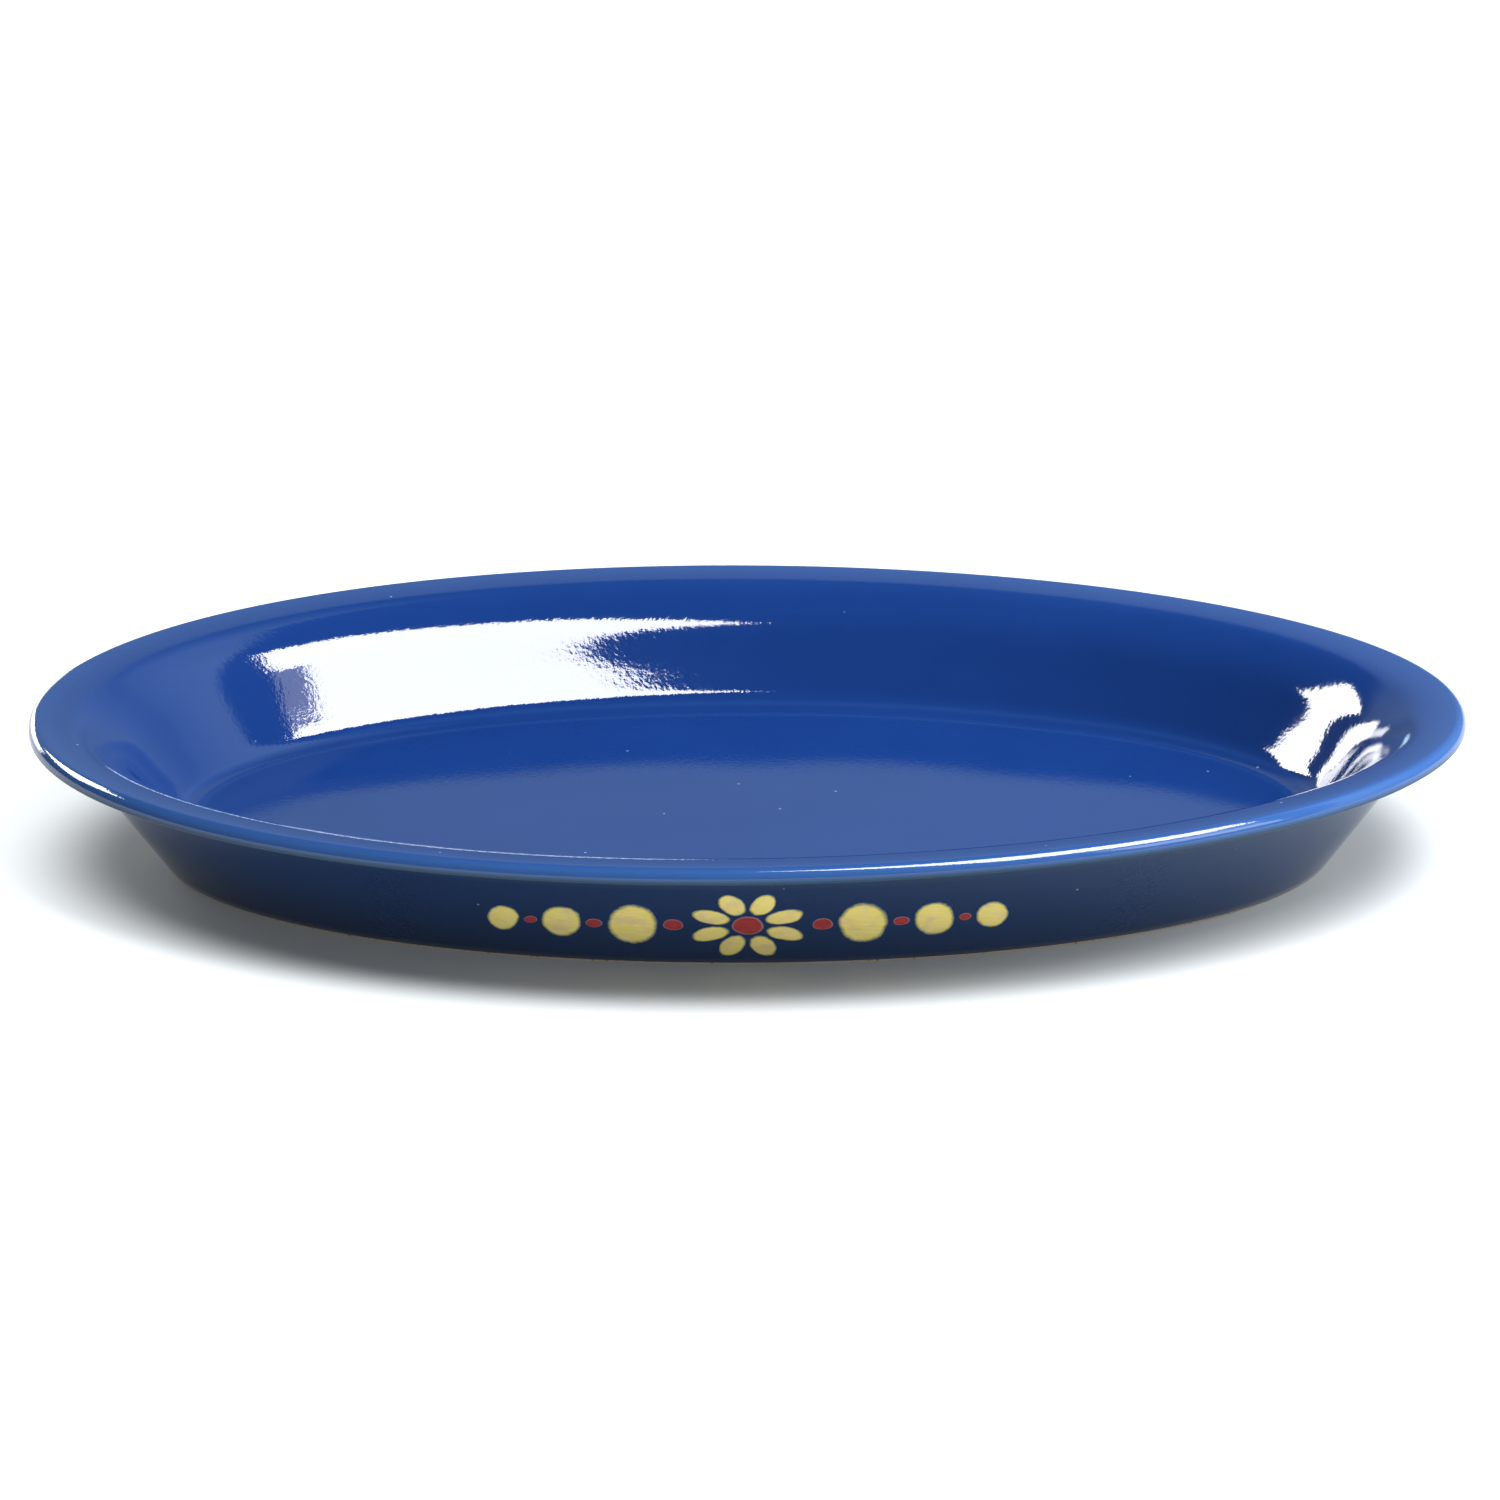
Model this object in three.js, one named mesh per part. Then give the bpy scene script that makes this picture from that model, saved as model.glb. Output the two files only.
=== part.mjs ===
// An oval baking dish in glazed stoneware: a fired clay body with a flared rim, sloping walls and a foot ring,
// a glassy blue glaze over everything but the foot, and a brushed ornament on the front wall.
// Millimetres, +Z up. The origin is the middle of the plane that the foot stands on, the length runs along X,
// and the painted side faces -Y.
import * as THREE from "three";
import { mergeVertices } from "three/addons/utils/BufferGeometryUtils.js";

// Overall sizes, over the lip
const LENGTH = 350;
const WIDTH = 220;
const HEIGHT = 36.5;

// Rim: a nearly level flange with a rounded lip, which bends down over a shoulder into the wall.
// Insets run in from the edge of the lip, and the drop of the shoulder runs down from it.
const RIM_WIDTH = 11.8;
const RIM_SLOPE = THREE.MathUtils.degToRad(5.5);
const RIM_THICKNESS = 4;
const LIP_RADIUS = 2.6;
const LIP_LOWER_RADIUS = 0.9;
const RIM_ROLL_RADIUS = 12.5;
const SHOULDER_INSET = 21;
const SHOULDER_DROP = 6.2;
const SHOULDER_RADIUS = 28;
const UNDER_RIM_SLOPE = THREE.MathUtils.degToRad(15);
const UNDER_RIM_FILLET = 6;
const NECK_INSET = 11.4;

// Inside: a slightly hollow wall that runs down in a wide fillet to a flat floor
const FLOOR_INSET = 37.3;
const FLOOR_HEIGHT = 11.2;
const FLOOR_FILLET = 12;
const WALL_HOLLOW = 0.3;
const WALL_HOLLOW_RADIUS = 80;

// Foot ring under the outside wall
const FOOT_INSET = 33.7;
const FOOT_WIDTH = 9;
const FOOT_HEIGHT = 3;
const FOOT_EDGE_RADIUS = 3;
const FOOT_INNER_RADIUS = 1;

// Glaze: its thickness, and how far above the foot plane it stops
const GLAZE_THICKNESS = 0.5;
const GLAZE_LINE = 0.6;

// Painted ornament on the front wall: a daisy, with beads and dots that get smaller to each side of it
const ORNAMENT_HEIGHT = 14;
const PETAL_COUNT = 8;
const PETAL_LENGTH = 10;
const PETAL_BREADTH = 6.2;
const PETAL_RADIUS = 9.6;
const DAISY_EYE = 8.2;
const BEAD_COUNT = 3;
const BEAD_LENGTH = 12.5;
const BEAD_BREADTH = 18;
const DOT_SIZE = 5;
const TAPER = 0.8;
const DAB_GAP = 0.9;
const PAINT_THICKNESS = 0.4;
const PAINT_SEAT = 0.15;

// Fineness of the facets
const OVAL_SIDES = 72;
const ARC_STEP = THREE.MathUtils.degToRad(15);
const PAINT_SIDES = 14;
const PAINT_RINGS = 6;

const HALF_LENGTH = LENGTH / 2;
const HALF_WIDTH = WIDTH / 2;

// A point of the section: x is half the length of the oval ring through it, y is its height.
function sectionPoint(inset, height) {
  return new THREE.Vector2(HALF_LENGTH - inset, height);
}

// The points of a section whose corners are rounded; a corner is { point, radius }, and its radius may be left out.
function roundedSection(corners) {
  const points = [];
  corners.forEach(({ point, radius }, i) => {
    if (!radius) {
      points.push(point);
      return;
    }
    const back = corners[i - 1].point.clone().sub(point).normalize();
    const ahead = corners[i + 1].point.clone().sub(point).normalize();
    const turn = Math.PI - Math.acos(back.dot(ahead));
    const centre = back.clone().add(ahead).normalize().multiplyScalar(radius / Math.cos(turn / 2)).add(point);
    const start = back.multiplyScalar(radius * Math.tan(turn / 2)).add(point);
    const sense = Math.sign(start.clone().sub(centre).cross(point.clone().sub(centre)));
    const steps = Math.max(2, Math.ceil(turn / ARC_STEP));
    for (let k = 0; k <= steps; k++) {
      points.push(start.clone().rotateAround(centre, (sense * turn * k) / steps));
    }
  });
  return points;
}

// The section moved square to itself, to the right of its own direction.
function shiftedSection(points, distance) {
  return points.map((point, i) => {
    const before = points[Math.max(i - 1, 0)];
    const after = points[Math.min(i + 1, points.length - 1)];
    const away = i === 0 ? after : before;
    const along = point.clone().sub(away).normalize();
    if (i === 0) along.negate();
    const next = after.clone().sub(point);
    if (i > 0 && next.length() > 0) along.add(next.normalize()).normalize();
    return new THREE.Vector2(along.y, -along.x).multiplyScalar(distance).add(point);
  });
}

// A closed oval solid from a section that starts and ends on the axis. Every ring keeps one inset all round.
function ovalSolid(section) {
  const lathe = new THREE.LatheGeometry(section, OVAL_SIDES).rotateX(Math.PI / 2);
  lathe.deleteAttribute("normal");
  lathe.deleteAttribute("uv");
  const merged = mergeVertices(lathe);
  const places = merged.getAttribute("position");
  for (let i = 0; i < places.count; i++) {
    const ring = Math.hypot(places.getX(i), places.getY(i));
    if (ring > 0) {
      const narrowing = (ring - (HALF_LENGTH - HALF_WIDTH)) / ring;
      places.setY(i, places.getY(i) * Math.max(narrowing, 0));
    }
  }
  // Each four-sided facet is split along its shorter diagonal, so that touching solids share their facets.
  const corners = [];
  const index = merged.index.array;
  const span = (i, j) => Math.hypot(...[0, 1, 2].map((k) => places.getComponent(i, k) - places.getComponent(j, k)));
  for (let i = 0; i < index.length; i += 6) {
    const [a, b, d, c] = index.slice(i, i + 4);
    const halves = span(a, c) < span(b, d) ? [[a, b, c], [a, c, d]] : [[a, b, d], [b, c, d]];
    corners.push(...halves.filter((half) => new Set(half).size === 3).flat());
  }
  merged.setIndex(corners);
  merged.computeVertexNormals();
  return merged;
}

// Section of the glazed surface, from the middle of the floor, over the lip and down to the foot
const lipCorner = HEIGHT + LIP_RADIUS * (Math.tan((Math.PI / 2 + RIM_SLOPE) / 2) - 1);
const underLip = lipCorner - RIM_THICKNESS / Math.cos(RIM_SLOPE);
const rollCorner = sectionPoint(RIM_WIDTH, lipCorner - RIM_WIDTH * Math.tan(RIM_SLOPE));
const shoulderCorner = sectionPoint(SHOULDER_INSET, HEIGHT - SHOULDER_DROP);
const floorCorner = sectionPoint(FLOOR_INSET, FLOOR_HEIGHT);
const neckCorner = sectionPoint(NECK_INSET, underLip - NECK_INSET * Math.tan(UNDER_RIM_SLOPE));
const footCorner = sectionPoint(FOOT_INSET, -GLAZE_THICKNESS);
const wallRise = shoulderCorner.clone().sub(floorCorner).normalize();
const hollowCorner = floorCorner.clone().lerp(shoulderCorner, 0.5);
hollowCorner.add(new THREE.Vector2(wallRise.y, -wallRise.x).multiplyScalar(WALL_HOLLOW));

const glazedSection = roundedSection([
  { point: new THREE.Vector2(0, FLOOR_HEIGHT) },
  { point: floorCorner, radius: FLOOR_FILLET },
  { point: hollowCorner, radius: WALL_HOLLOW_RADIUS },
  { point: shoulderCorner, radius: SHOULDER_RADIUS },
  { point: rollCorner, radius: RIM_ROLL_RADIUS },
  { point: sectionPoint(0, lipCorner), radius: LIP_RADIUS },
  { point: sectionPoint(0, underLip), radius: LIP_LOWER_RADIUS },
  { point: neckCorner, radius: UNDER_RIM_FILLET },
  { point: footCorner, radius: FOOT_EDGE_RADIUS },
  { point: sectionPoint(FOOT_INSET + FOOT_WIDTH, -GLAZE_THICKNESS) },
]).slice(0, -1);

// The glaze stops just above the foot plane: the section gets a point there, which clay and glaze share.
const firstBare = glazedSection.findIndex((point) => point.y < GLAZE_LINE);
const above = glazedSection[firstBare - 1];
const share = (above.y - GLAZE_LINE) / (above.y - glazedSection[firstBare].y);
glazedSection.splice(firstBare, 0, above.clone().lerp(glazedSection[firstBare], share));
const glazedCount = firstBare + 1;

// Clay under the glaze, then the bare foot ring and the hollow underside
const claySection = shiftedSection(glazedSection, GLAZE_THICKNESS);
const footInner = FOOT_INSET + FOOT_WIDTH;
const clayFoot = claySection[claySection.length - 1];
clayFoot.y = 0;
const underside = roundedSection([
  { point: clayFoot },
  { point: sectionPoint(footInner, 0), radius: FOOT_INNER_RADIUS },
  { point: sectionPoint(footInner, FOOT_HEIGHT), radius: FOOT_INNER_RADIUS },
  { point: new THREE.Vector2(0, FOOT_HEIGHT) },
]).slice(1);

const clayBody = ovalSolid([...claySection, ...underside].reverse());

const glazeCoat = ovalSolid(
  [...glazedSection.slice(0, glazedCount), ...claySection.slice(0, glazedCount).reverse()].reverse(),
);

// The recess under the floor is glazed too: a flat oval panel inside the foot ring
const panelEdge = footInner + FOOT_INNER_RADIUS;
const baseGlaze = ovalSolid([
  new THREE.Vector2(0, FOOT_HEIGHT - GLAZE_THICKNESS),
  sectionPoint(panelEdge, FOOT_HEIGHT - GLAZE_THICKNESS),
  sectionPoint(panelEdge, FOOT_HEIGHT),
  new THREE.Vector2(0, FOOT_HEIGHT),
]);

// A dab of paint on the front wall: a dome with a flat back, bent to the wall. Its middle is given across the
// front and up the slope from the middle of the ornament; tilt turns its length away from the horizontal.
const outerWall = neckCorner.clone().sub(footCorner);
const outerSlope = outerWall.angle();
const ornamentClimb = (ORNAMENT_HEIGHT - footCorner.y) / Math.sin(outerSlope);

function paintDab(across, up, length, breadth, tilt = 0) {
  const dome = new THREE.SphereGeometry(1, PAINT_SIDES, PAINT_RINGS).rotateX(Math.PI / 2);
  dome.deleteAttribute("normal");
  dome.deleteAttribute("uv");
  dome.scale(length / 2, breadth / 2, PAINT_THICKNESS).rotateZ(tilt).translate(across, up + ornamentClimb, 0);
  const dab = mergeVertices(dome);
  const places = dab.getAttribute("position");
  for (let i = 0; i < places.count; i++) {
    const x = places.getX(i);
    const climb = places.getY(i);
    const proud = PAINT_SEAT + Math.max(places.getZ(i), 0);
    const halfLength = footCorner.x + climb * Math.cos(outerSlope);
    const halfWidth = halfLength - (HALF_LENGTH - HALF_WIDTH);
    const y = -halfWidth * Math.sqrt(1 - (x / halfLength) ** 2);
    const height = footCorner.y + climb * Math.sin(outerSlope);
    const outward = new THREE.Vector2(x / halfLength ** 2, y / halfWidth ** 2).normalize();
    const reach = proud * Math.sin(outerSlope);
    places.setXYZ(i, x + outward.x * reach, y + outward.y * reach, height - proud * Math.cos(outerSlope));
  }
  dab.computeVertexNormals();
  return dab;
}

const bareClay = new THREE.MeshStandardMaterial({ color: 0xd9c9ae, roughness: 0.9, metalness: 0 });
const blueGlaze = new THREE.MeshStandardMaterial({ color: 0x1c3f86, roughness: 0.08, metalness: 0 });
const yellowPaint = new THREE.MeshStandardMaterial({ color: 0xd3bf63, roughness: 0.3, metalness: 0 });
const redPaint = new THREE.MeshStandardMaterial({ color: 0x8e2b2b, roughness: 0.3, metalness: 0 });
bareClay.name = "bare_clay";
blueGlaze.name = "blue_glaze";
yellowPaint.name = "yellow_paint";
redPaint.name = "red_paint";

function piece(name, geometry, material) {
  const mesh = new THREE.Mesh(geometry, material);
  mesh.name = name;
  return mesh;
}

const dish = new THREE.Group();
dish.add(piece("clay_body", clayBody, bareClay));
dish.add(piece("glaze_coat", glazeCoat, blueGlaze));
dish.add(piece("base_glaze", baseGlaze, blueGlaze));

const ornament = new THREE.Group();
ornament.add(piece("daisy_eye", paintDab(0, 0, DAISY_EYE, DAISY_EYE), redPaint));
for (let k = 0; k < PETAL_COUNT; k++) {
  const angle = ((k + 0.5) * 2 * Math.PI) / PETAL_COUNT;
  const across = PETAL_RADIUS * Math.cos(angle);
  const up = PETAL_RADIUS * Math.sin(angle);
  ornament.add(piece(`petal_${k + 1}`, paintDab(across, up, PETAL_LENGTH, PETAL_BREADTH, angle), yellowPaint));
}
for (const [side, sign] of [["left", -1], ["right", 1]]) {
  let reached = PETAL_RADIUS + PETAL_LENGTH / 2;
  for (let k = 0; k < BEAD_COUNT; k++) {
    const dot = DOT_SIZE * TAPER ** k;
    const length = BEAD_LENGTH * TAPER ** k;
    const breadth = BEAD_BREADTH * TAPER ** k;
    const dotAcross = sign * (reached + DAB_GAP + dot / 2);
    ornament.add(piece(`${side}_dot_${k + 1}`, paintDab(dotAcross, 0, dot, dot), redPaint));
    reached += DAB_GAP + dot;
    const beadAcross = sign * (reached + DAB_GAP + length / 2);
    ornament.add(piece(`${side}_bead_${k + 1}`, paintDab(beadAcross, 0, length, breadth), yellowPaint));
    reached += DAB_GAP + length;
  }
}
dish.add(ornament);

export default dish;
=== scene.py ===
import math
import bpy
from mathutils import Euler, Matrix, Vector


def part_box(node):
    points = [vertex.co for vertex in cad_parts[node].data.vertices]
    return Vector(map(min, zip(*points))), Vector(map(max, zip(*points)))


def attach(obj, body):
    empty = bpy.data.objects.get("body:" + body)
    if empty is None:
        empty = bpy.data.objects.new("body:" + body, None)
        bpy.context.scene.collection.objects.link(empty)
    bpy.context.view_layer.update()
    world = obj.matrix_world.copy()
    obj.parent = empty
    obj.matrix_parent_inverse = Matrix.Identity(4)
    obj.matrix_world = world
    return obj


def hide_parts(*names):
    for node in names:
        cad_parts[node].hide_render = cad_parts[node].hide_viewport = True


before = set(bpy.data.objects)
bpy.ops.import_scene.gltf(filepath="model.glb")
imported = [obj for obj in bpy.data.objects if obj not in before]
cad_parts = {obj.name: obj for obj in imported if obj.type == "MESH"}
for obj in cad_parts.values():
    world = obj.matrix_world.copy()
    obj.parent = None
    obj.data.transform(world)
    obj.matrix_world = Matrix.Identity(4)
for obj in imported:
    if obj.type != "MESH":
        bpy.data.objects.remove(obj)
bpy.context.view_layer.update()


# The clay body: one thick piece of stoneware, pressed over an oval mould and fired. The glaze hides all of it
# but the foot ring that it stands on. Its surface lies one glaze coat inside the surface that is seen.

MM = 0.001
half_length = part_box("glaze_coat")[1].x
half_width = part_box("glaze_coat")[1].y
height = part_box("glaze_coat")[1].z

glaze_thickness = 0.5 * MM
glaze_stop = 0.6 * MM
glaze_edge = 0.3 * MM
rim_width = 11.8 * MM
rim_slope = math.radians(5.5)
rim_thickness = 4.0 * MM
roll_radius = 12.5 * MM
lip_radius = 2.6 * MM
lip_lower_radius = 0.9 * MM
lip_depth = 3.5 * MM
lip_below = 2.0 * MM
shoulder_inset = 21.0 * MM
shoulder_drop = 6.2 * MM
shoulder_radius = 28.0 * MM
wall_hollow = 0.3 * MM
wall_hollow_radius = 80.0 * MM
floor_inset = 37.3 * MM
floor_height = 11.2 * MM
floor_fillet = 12.0 * MM
neck_inset = 11.4 * MM
under_rim_slope = math.radians(15)
under_rim_fillet = 6.0 * MM
foot_inset = 33.7 * MM
foot_width = 9.0 * MM
foot_height = 3.0 * MM
foot_edge_radius = 3.0 * MM
foot_inner_radius = 1.0 * MM
foot_inner = half_length - foot_inset - foot_width


def rounded(corners, arc_step, longest):
    """A section line's points, from corners (x, height, radius) and the longest straight step."""
    points = []

    def straight_to(end):
        if points:
            start = points[-1]
            steps = max(1, math.ceil((end - start).length / longest))
            points.extend(start.lerp(end, k / steps) for k in range(1, steps + 1))
        else:
            points.append(end)

    for i, (x, z, radius) in enumerate(corners):
        corner = Vector((x, z))
        if not radius:
            straight_to(corner)
            continue
        back = (Vector(corners[i - 1][:2]) - corner).normalized()
        ahead = (Vector(corners[i + 1][:2]) - corner).normalized()
        turn = math.pi - back.angle(ahead)
        centre = corner + (back + ahead).normalized() * radius / math.cos(turn / 2)
        start = corner + back * radius * math.tan(turn / 2)
        straight_to(start)
        arm = start - centre
        sense = math.copysign(1, arm.x * (corner - centre).y - arm.y * (corner - centre).x)
        steps = max(2, math.ceil(turn / arc_step))
        for k in range(1, steps + 1):
            c, s = math.cos(turn * k / steps), sense * math.sin(turn * k / steps)
            points.append(centre + Vector((c * arm.x - s * arm.y, s * arm.x + c * arm.y)))
    return points


def shifted(points, distance):
    """The section line moved square to itself, towards the clay."""
    moved = []
    for i, point in enumerate(points):
        along = Vector((0, 0))
        if i > 0:
            along += (point - points[i - 1]).normalized()
        if i < len(points) - 1:
            along += (points[i + 1] - point).normalized()
        along.normalize()
        moved.append(point + Vector((along.y, -along.x)) * distance)
    return moved


def inset(point):
    """How far a point of the section line lies in from the end of the dish."""
    return half_length - point.x


def ramp(value, start, end):
    """0 at the start, 1 at the end, in a straight line between them and level beyond."""
    return min(max((value - start) / (end - start), 0), 1)


lip_corner = height + lip_radius * (math.tan((math.pi / 2 + rim_slope) / 2) - 1)
under_lip = lip_corner - rim_thickness / math.cos(rim_slope)
roll = Vector((half_length - rim_width, lip_corner - rim_width * math.tan(rim_slope)))
shoulder = Vector((half_length - shoulder_inset, height - shoulder_drop))
floor_corner = Vector((half_length - floor_inset, floor_height))
neck = Vector((half_length - neck_inset, under_lip - neck_inset * math.tan(under_rim_slope)))
foot = Vector((half_length - foot_inset, -glaze_thickness))
wall_rise = (shoulder - floor_corner).normalized()
hollow = floor_corner.lerp(shoulder, 0.5) + Vector((wall_rise.y, -wall_rise.x)) * wall_hollow

# The line runs from the middle of the floor up the inside, over the lip and down the outside to the foot.
section_line = rounded([
    (0, floor_height, 0),
    (*floor_corner, floor_fillet),
    (*hollow, wall_hollow_radius),
    (*shoulder, shoulder_radius),
    (*roll, roll_radius),
    (half_length, lip_corner, lip_radius),
    (half_length, under_lip, lip_lower_radius),
    (*neck, under_rim_fillet),
    (*foot, foot_edge_radius),
    (foot_inner, foot.y, 0),
], arc_step=math.radians(4), longest=2.5 * MM)

# The fillet runs out on the floor in two faint ridges, left by the edge of the former.
# The line has finer steps there.
ridge_inset = 34.7 * MM
ridge_pitch = 4.6 * MM
ridge_height = 0.04 * MM
ridge_count = 2
fine_step = 0.6 * MM
fine_from, fine_to = 30 * MM, 48 * MM
fine_low, fine_high = 8 * MM, 14 * MM
finer_line = []
for start, end in zip(section_line, section_line[1:]):
    steps = 1
    if fine_low < start.y < fine_high and inset(start) > fine_from and inset(end) < fine_to:
        steps = math.ceil((end - start).length / fine_step)
    finer_line.extend(start.lerp(end, k / steps) for k in range(steps))
section_line = finer_line + section_line[-1:]
for p in section_line:
    ridges_in = (inset(p) - ridge_inset) / ridge_pitch
    if fine_low < p.y < fine_high and 0 < ridges_in < ridge_count:
        p.y += ridge_height * (0.5 - 0.5 * math.cos(math.tau * ridges_in))

seen_line = section_line[:next(i for i, p in enumerate(section_line) if p.y < glaze_stop)]
seen_line.append(Vector((seen_line[-1].x - glaze_edge, glaze_stop)))
clay_line = shifted(seen_line, glaze_thickness)
lip_rows = [i for i, p in enumerate(seen_line) if inset(p) < lip_depth and p.y > under_lip - lip_below]

# Firing twists the whole a little and leaves the inside gently uneven. The lip and the outside are smoothed
# with a sponge, so they have no unevenness.
kiln_twist = -0.86 * MM
unevenness = 0.5 * MM
uneven_pitch = 55 * MM
uneven_fade = 10 * MM
uneven = [0] * len(seen_line)
for i in range(lip_rows[0]):
    uneven[i] = ramp(inset(seen_line[i]), lip_depth, lip_depth + uneven_fade)


def node(tree, kind, inputs=None, **settings):
    """Adds one node, sets its properties, and fills or links its inputs."""
    made = tree.nodes.new(kind)
    for key, value in settings.items():
        setattr(made, key, value)
    for key, value in (inputs or {}).items():
        if isinstance(value, bpy.types.NodeSocket):
            tree.links.new(value, made.inputs[key])
        else:
            made.inputs[key].default_value = value
    return made


def shape_rule(name, start, sizes):
    """A new tree that makes a mesh from a start geometry and named sizes, and the sizes' identifiers."""
    tree = bpy.data.node_groups.new(name, "GeometryNodeTree")
    tree.interface.new_socket(start, in_out="INPUT", socket_type="NodeSocketGeometry")
    identifiers = {}
    for label, kind in sizes.items():
        socket = tree.interface.new_socket(label, in_out="INPUT", socket_type=f"NodeSocket{kind}")
        identifiers[label] = socket.identifier
    tree.interface.new_socket("Mesh", in_out="OUTPUT", socket_type="NodeSocketGeometry")
    return tree, identifiers


# The oval rule: a section line goes round the axis, and each of its points draws one oval ring.
# The line's points hold half the ring's length, half its width and its height, and carry three values along:
# "coat" is below 0 where the blue is drawn paler, for thin glaze and painted light, and above 0 on the
# outside wall, where it is drawn darker as painted shade; "dry" is 1 where it is dull, and "uneven" is the
# share of the unevenness.
carried_values = ("coat", "dry", "uneven")
oval, oval_inputs = shape_rule("oval from a section line", "Section Line", {
    "Sides": "Int", "Rows": "Int", "Half Length": "Float", "Height": "Float", "Twist": "Float",
    "Unevenness": "Float", "Wave Length": "Float", "Material": "Material",
})
given = node(oval, "NodeGroupInput").outputs
around = node(oval, "ShaderNodeMath", {0: given["Sides"], 1: 1.0}, operation="ADD").outputs[0]
grid = node(oval, "GeometryNodeMeshGrid",
            {"Size X": 1.0, "Size Y": 1.0, "Vertices X": around, "Vertices Y": given["Rows"]})
place = node(oval, "ShaderNodeSeparateXYZ", {0: grid.outputs["UV Map"]}).outputs
angle = node(oval, "ShaderNodeMath", {0: place["X"], 1: math.tau}, operation="MULTIPLY").outputs[0]
last_row = node(oval, "ShaderNodeMath", {0: given["Rows"], 1: 1.0}, operation="SUBTRACT").outputs[0]
row = node(oval, "ShaderNodeMath", {0: place["Y"], 1: last_row}, operation="MULTIPLY").outputs[0]
row = node(oval, "ShaderNodeMath", {0: row}, operation="ROUND").outputs[0]
position = node(oval, "GeometryNodeInputPosition").outputs[0]
ring = node(oval, "GeometryNodeSampleIndex",
            {"Geometry": given["Section Line"], "Value": position, "Index": row},
            data_type="FLOAT_VECTOR", domain="POINT").outputs[0]
ring = node(oval, "ShaderNodeSeparateXYZ", {0: ring}).outputs
cosine = node(oval, "ShaderNodeMath", {0: angle}, operation="COSINE").outputs[0]
sine = node(oval, "ShaderNodeMath", {0: angle}, operation="SINE").outputs[0]
x = node(oval, "ShaderNodeMath", {0: ring["X"], 1: cosine}, operation="MULTIPLY").outputs[0]
y = node(oval, "ShaderNodeMath", {0: ring["Y"], 1: sine}, operation="MULTIPLY").outputs[0]
# The kiln's twist moves the rim by up to its size, with the sine of twice the angle, and the foot not at all.
double = node(oval, "ShaderNodeMath", {0: angle, 1: 2.0}, operation="MULTIPLY").outputs[0]
lift = node(oval, "ShaderNodeMath", {0: double}, operation="SINE").outputs[0]
lift = node(oval, "ShaderNodeMath", {0: lift, 1: given["Twist"]}, operation="MULTIPLY").outputs[0]
reach = node(oval, "ShaderNodeMath", {0: ring["X"], 1: given["Half Length"]}, operation="DIVIDE").outputs[0]
reach = node(oval, "ShaderNodeMath", {0: reach, 1: 2.0}, operation="POWER").outputs[0]
share = node(oval, "ShaderNodeMath", {0: ring["Z"], 1: given["Height"]}, operation="DIVIDE").outputs[0]
share = node(oval, "ShaderNodeMath", {0: share, 1: reach}, operation="MULTIPLY").outputs[0]
z = node(oval, "ShaderNodeMath", {0: lift, 1: share, 2: ring["Z"]}, operation="MULTIPLY_ADD").outputs[0]
true_place = node(oval, "ShaderNodeCombineXYZ", {"X": x, "Y": y, "Z": z}).outputs[0]
placed = node(oval, "GeometryNodeSetPosition",
              {"Geometry": grid.outputs["Mesh"], "Position": true_place}).outputs[0]
for carried in carried_values:
    value = node(oval, "GeometryNodeInputNamedAttribute",
                 {"Name": carried}, data_type="FLOAT").outputs["Attribute"]
    value = node(oval, "GeometryNodeSampleIndex",
                 {"Geometry": given["Section Line"], "Value": value, "Index": row},
                 data_type="FLOAT", domain="POINT").outputs[0]
    placed = node(oval, "GeometryNodeStoreNamedAttribute",
                  {"Geometry": placed, "Name": carried, "Value": value},
                  data_type="FLOAT", domain="POINT").outputs[0]
# The unevenness is a slow wave that moves a point by up to half its size either way.
pitch = node(oval, "ShaderNodeMath", {0: 1.0, 1: given["Wave Length"]}, operation="DIVIDE").outputs[0]
waves = node(oval, "ShaderNodeTexNoise",
             {"Vector": position, "Scale": pitch, "Detail": 1.0, "Roughness": 0.4}).outputs["Color"]
waves = node(oval, "ShaderNodeVectorMath", {0: waves, 1: (0.5, 0.5, 0.5)}, operation="SUBTRACT").outputs[0]
weight = node(oval, "GeometryNodeInputNamedAttribute",
              {"Name": "uneven"}, data_type="FLOAT").outputs["Attribute"]
weight = node(oval, "ShaderNodeMath", {0: weight, 1: given["Unevenness"]}, operation="MULTIPLY").outputs[0]
waves = node(oval, "ShaderNodeVectorMath", {0: waves, "Scale": weight}, operation="SCALE").outputs[0]
placed = node(oval, "GeometryNodeSetPosition", {"Geometry": placed, "Offset": waves}).outputs[0]
closed = node(oval, "GeometryNodeMergeByDistance", {"Geometry": placed, "Distance": 1e-6}).outputs[0]
smooth = node(oval, "GeometryNodeSetShadeSmooth", {"Geometry": closed}).outputs[0]
real = node(oval, "GeometryNodeRealizeInstances", {0: smooth}).outputs[0]
painted = node(oval, "GeometryNodeSetMaterial", {"Geometry": real, "Material": given["Material"]}).outputs[0]
node(oval, "NodeGroupOutput", {"Mesh": painted})


def made_by_rule(name, start_mesh, tree, identifiers, sizes):
    """The piece that a tree makes from a start mesh, as a plain mesh on the dish's one body."""
    piece = bpy.data.objects.new(name, start_mesh)
    bpy.context.scene.collection.objects.link(piece)
    rule = piece.modifiers.new(tree.name, "NODES")
    rule.node_group = tree
    for label, value in sizes.items():
        rule[identifiers[label]] = value
    made = bpy.data.meshes.new_from_object(piece.evaluated_get(bpy.context.evaluated_depsgraph_get()))
    made.name = name
    piece.modifiers.remove(rule)
    piece.data = made
    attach(piece, "root")
    return piece


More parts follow.
